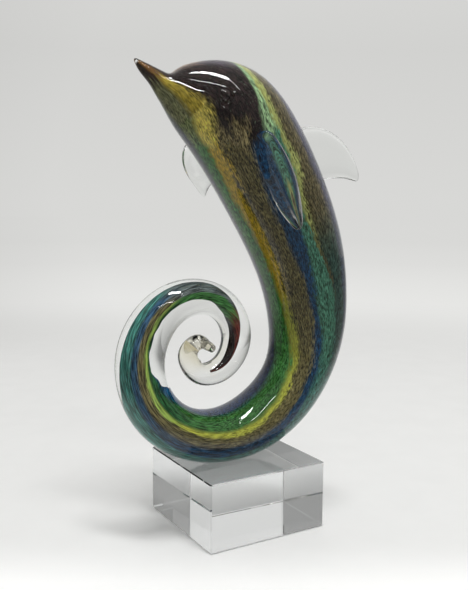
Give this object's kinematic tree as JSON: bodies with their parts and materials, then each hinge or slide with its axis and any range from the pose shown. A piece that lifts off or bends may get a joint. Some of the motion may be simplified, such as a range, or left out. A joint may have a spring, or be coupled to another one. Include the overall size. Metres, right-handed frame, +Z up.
{
  "type": "glass dolphin sculpture",
  "caption": "Solid glass dolphin rising from its coiled tail, clear glass over a striped colour core, cemented on a square clear crystal block.",
  "frame": {"origin": "middle of the crystal block's underside", "axes": "+Z up, -X the way the beak points, -Y the flank that the picture shows"},
  "size_m": [0.1713, 0.0958, 0.281],
  "materials": {
    "clear_crystal": "colourless lead-free crystal, ground and polished, with fine bevels",
    "cased_glass": "fire-polished clear glass over an opaque core streaked green, gold, brown and blue"
  },
  "bodies": {
    "root": {"crystal_block": "clear_crystal", "dolphin": "cased_glass"}
  },
  "joints": []
}
